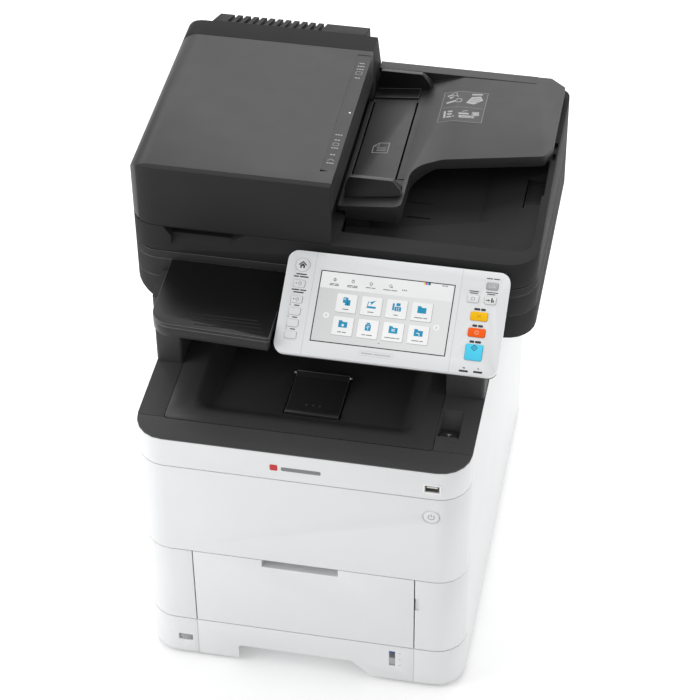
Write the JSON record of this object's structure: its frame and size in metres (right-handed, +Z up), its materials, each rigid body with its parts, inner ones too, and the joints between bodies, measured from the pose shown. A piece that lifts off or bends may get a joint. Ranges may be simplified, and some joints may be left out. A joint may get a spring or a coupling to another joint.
{
  "type": "photocopier",
  "caption": "Desktop colour photocopier: print engine with paper cassette, scanner on pillars over the output tray, document feeder lid and tilting touch panel.",
  "frame": {"origin": "centre of the machine's outline box, on the surface it stands on", "axes": "+Z up, -Y towards the user at the front, +X to the user's right"},
  "size_m": [0.4734, 0.532, 0.6149],
  "materials": {
    "white_cover": "fine matt grain",
    "charcoal": "fine matt grain",
    "dark_tray": "satin",
    "steel": "plated sheet",
    "rubber": "matt",
    "grey_plastic": "matt",
    "platen_glass": "clear",
    "screen": "glossy touch panel",
    "gauge_blue": "matt",
    "key_white": "satin",
    "key_grey": "satin",
    "key_yellow": "satin",
    "key_orange": "satin",
    "key_cyan": "satin"
  },
  "bodies": {
    "body": {"chassis": "steel", "left_side_cover": "white_cover", "right_side_cover": "white_cover", "rear_panel": "white_cover", "upper_front_panel": "white_cover", "imaging_unit": "charcoal", "toner_black": "dark_tray", "toner_yellow": "dark_tray", "toner_cyan": "dark_tray", "toner_magenta": "dark_tray", "foot_front_left": "rubber", "foot_front_right": "rubber", "foot_rear_left": "rubber", "foot_rear_right": "rubber", "top_frame": "charcoal", "scanner_stand": "charcoal", "document_shelf": "charcoal", "panel_bracket": "charcoal", "scanner_base": "charcoal", "platen_glass": "platen_glass"},
    "front_cover": {"front_cover": "white_cover"},
    "power_button": {"power_button": "white_cover"},
    "mp_tray": {"mp_tray": "white_cover"},
    "mp_extension": {"mp_extension": "grey_plastic"},
    "cassette": {"cassette_front": "white_cover", "cassette_tray": "grey_plastic"},
    "lift_plate": {"lift_plate": "steel"},
    "paper_gauge": {"paper_gauge": "gauge_blue"},
    "size_dial": {"size_dial": "grey_plastic"},
    "inner_tray": {"inner_tray": "dark_tray"},
    "paper_stopper": {"paper_stopper": "dark_tray"},
    "release_lever": {"release_lever": "charcoal"},
    "rear_cover": {"rear_cover": "white_cover"},
    "fuser_roller": {"fuser_roller": "rubber"},
    "pressure_roller": {"pressure_roller": "rubber"},
    "exit_roller": {"exit_roller": "rubber"},
    "pickup_roller": {"pickup_roller": "rubber"},
    "scanner_carriage": {"scanner_carriage": "steel"},
    "lid": {"adf_base": "charcoal"},
    "adf_top_cover": {"adf_top_cover": "charcoal"},
    "adf_roller": {"adf_roller": "rubber"},
    "adf_input_tray": {"adf_input_tray": "charcoal"},
    "guide_front": {"guide_front": "dark_tray"},
    "guide_rear": {"guide_rear": "dark_tray"},
    "original_stopper": {"original_stopper": "charcoal"},
    "panel": {"panel_back": "charcoal", "panel_bezel": "white_cover", "touch_screen": "screen"},
    "home_key": {"home_key": "key_white"},
    "status_key": {"status_key": "key_white"},
    "menu_key": {"menu_key": "key_white"},
    "copy_key": {"copy_key": "key_white"},
    "send_key": {"send_key": "key_white"},
    "fax_key": {"fax_key": "key_white"},
    "energy_key": {"energy_key": "key_grey"},
    "keypad_key": {"keypad_key": "key_white"},
    "login_key": {"login_key": "key_white"},
    "reset_key": {"reset_key": "key_yellow"},
    "stop_key": {"stop_key": "key_orange"},
    "start_key": {"start_key": "key_cyan"}
  },
  "joints": [
    {"name": "front_cover_hinge", "type": "hinge", "parent": "body", "child": "front_cover", "pos_m": [-0.00475, -0.2635, 0.19], "axis": [1, 0, 0], "range_deg": [0, 85]},
    {"name": "power_button_press", "type": "slide", "parent": "front_cover", "child": "power_button", "axis": [0, 1, 0], "range_m": [0, 0.0015], "stiffness_N_per_m": 400},
    {"name": "mp_tray_hinge", "type": "hinge", "parent": "body", "child": "mp_tray", "pos_m": [-0.00475, -0.2635, 0.0698], "axis": [1, 0, 0], "range_deg": [0, 80]},
    {"name": "mp_extension_slide", "type": "slide", "parent": "mp_tray", "child": "mp_extension", "axis": [0, 0, 1], "range_m": [0, 0.075]},
    {"name": "cassette_slide", "type": "slide", "parent": "body", "child": "cassette", "axis": [0, -1, 0], "range_m": [0, 0.36]},
    {"name": "lift_plate_hinge", "type": "hinge", "parent": "cassette", "child": "lift_plate", "pos_m": [-0.00475, -0.0705, 0.0145], "axis": [1, 0, 0], "range_deg": [0, 5.5]},
    {"name": "paper_gauge_slide", "type": "slide", "parent": "cassette", "child": "paper_gauge", "axis": [0, 0, -1], "range_m": [0, 0.0175]},
    {"name": "size_dial_turn", "type": "hinge", "parent": "cassette", "child": "size_dial", "pos_m": [-0.153, -0.2521, 0.031], "axis": [0, 0, 1], "range_deg": [-120, 120]},
    {"name": "inner_tray_hinge", "type": "hinge", "parent": "body", "child": "inner_tray", "pos_m": [-0.00475, 0.065, 0.365], "axis": [-1, 0, 0], "range_deg": [0, 14]},
    {"name": "paper_stopper_hinge", "type": "hinge", "parent": "inner_tray", "child": "paper_stopper", "pos_m": [-0.00675, -0.106, 0.3445], "axis": [-1, 0, 0], "range_deg": [0, 75]},
    {"name": "release_lever_slide", "type": "slide", "parent": "body", "child": "release_lever", "axis": [0, 1, 0], "range_m": [0, 0.007], "stiffness_N_per_m": 300},
    {"name": "rear_cover_hinge", "type": "hinge", "parent": "body", "child": "rear_cover", "pos_m": [-0.00475, 0.2645, 0.16], "axis": [-1, 0, 0], "range_deg": [0, 80]},
    {"name": "fuser_roller_spin", "type": "hinge", "parent": "body", "child": "fuser_roller", "pos_m": [-0.00475, 0.222, 0.24], "axis": [1, 0, 0], "continuous": true},
    {"name": "pressure_roller_spin", "type": "hinge", "parent": "body", "child": "pressure_roller", "pos_m": [-0.00475, 0.222, 0.271], "axis": [1, 0, 0], "continuous": true},
    {"name": "exit_roller_spin", "type": "hinge", "parent": "body", "child": "exit_roller", "pos_m": [-0.01075, 0.085, 0.394], "axis": [1, 0, 0], "continuous": true},
    {"name": "pickup_roller_spin", "type": "hinge", "parent": "body", "child": "pickup_roller", "pos_m": [-0.00475, 0.174, 0.055], "axis": [1, 0, 0], "continuous": true},
    {"name": "scanner_carriage_slide", "type": "slide", "parent": "body", "child": "scanner_carriage", "axis": [1, 0, 0], "range_m": [0, 0.37]},
    {"name": "lid_hinge", "type": "hinge", "parent": "body", "child": "lid", "pos_m": [-0.00475, 0.242, 0.4995], "axis": [-1, 0, 0], "range_deg": [0, 65]},
    {"name": "adf_top_cover_hinge", "type": "hinge", "parent": "lid", "child": "adf_top_cover", "pos_m": [-0.23325, 0.049, 0.538], "axis": [0, -1, 0], "range_deg": [0, 80]},
    {"name": "adf_roller_spin", "type": "hinge", "parent": "lid", "child": "adf_roller", "pos_m": [-0.06675, 0.044, 0.577], "axis": [0, 1, 0], "continuous": true},
    {"name": "adf_input_tray_hinge", "type": "hinge", "parent": "lid", "child": "adf_input_tray", "pos_m": [0.00525, 0.099, 0.565], "axis": [0, -1, 0], "range_deg": [0, 25]},
    {"name": "guide_front_slide", "type": "slide", "parent": "adf_input_tray", "child": "guide_front", "axis": [0, 1, 0], "range_m": [0, 0.05]},
    {"name": "guide_rear_slide", "type": "slide", "parent": "adf_input_tray", "child": "guide_rear", "axis": [0, -1, 0], "range_m": [0, 0.05]},
    {"name": "original_stopper_hinge", "type": "hinge", "parent": "lid", "child": "original_stopper", "pos_m": [0.22725, 0.056, 0.5165], "axis": [0, 1, 0], "range_deg": [0, 80]},
    {"name": "panel_tilt", "type": "hinge", "parent": "body", "child": "panel", "pos_m": [0.08365, -0.17401, 0.46208], "axis": [1, 0, 0], "range_deg": [0, 40]},
    {"name": "home_key_press", "type": "slide", "parent": "panel", "child": "home_key", "axis": [0, 0.4985, -0.8669], "range_m": [0, 0.0007], "stiffness_N_per_m": 400},
    {"name": "status_key_press", "type": "slide", "parent": "panel", "child": "status_key", "axis": [0, 0.4985, -0.8669], "range_m": [0, 0.0007], "stiffness_N_per_m": 400},
    {"name": "menu_key_press", "type": "slide", "parent": "panel", "child": "menu_key", "axis": [0, 0.4985, -0.8669], "range_m": [0, 0.0007], "stiffness_N_per_m": 400},
    {"name": "copy_key_press", "type": "slide", "parent": "panel", "child": "copy_key", "axis": [0, 0.4985, -0.8669], "range_m": [0, 0.0007], "stiffness_N_per_m": 400},
    {"name": "send_key_press", "type": "slide", "parent": "panel", "child": "send_key", "axis": [0, 0.4985, -0.8669], "range_m": [0, 0.0007], "stiffness_N_per_m": 400},
    {"name": "fax_key_press", "type": "slide", "parent": "panel", "child": "fax_key", "axis": [0, 0.4985, -0.8669], "range_m": [0, 0.0007], "stiffness_N_per_m": 400},
    {"name": "energy_key_press", "type": "slide", "parent": "panel", "child": "energy_key", "axis": [0, 0.4985, -0.8669], "range_m": [0, 0.0007], "stiffness_N_per_m": 400},
    {"name": "keypad_key_press", "type": "slide", "parent": "panel", "child": "keypad_key", "axis": [0, 0.4985, -0.8669], "range_m": [0, 0.0007], "stiffness_N_per_m": 400},
    {"name": "login_key_press", "type": "slide", "parent": "panel", "child": "login_key", "axis": [0, 0.4985, -0.8669], "range_m": [0, 0.0007], "stiffness_N_per_m": 400},
    {"name": "reset_key_press", "type": "slide", "parent": "panel", "child": "reset_key", "axis": [0, 0.4985, -0.8669], "range_m": [0, 0.0007], "stiffness_N_per_m": 400},
    {"name": "stop_key_press", "type": "slide", "parent": "panel", "child": "stop_key", "axis": [0, 0.4985, -0.8669], "range_m": [0, 0.0007], "stiffness_N_per_m": 400},
    {"name": "start_key_press", "type": "slide", "parent": "panel", "child": "start_key", "axis": [0, 0.4985, -0.8669], "range_m": [0, 0.0007], "stiffness_N_per_m": 400}
  ],
  "couplings": [
    {"joint": "paper_gauge_slide", "follows": "lift_plate_hinge", "m_per_rad": 0.18},
    {"joint": "pressure_roller_spin", "follows": "fuser_roller_spin", "ratio": -1},
    {"joint": "guide_rear_slide", "follows": "guide_front_slide", "ratio": 1}
  ]
}
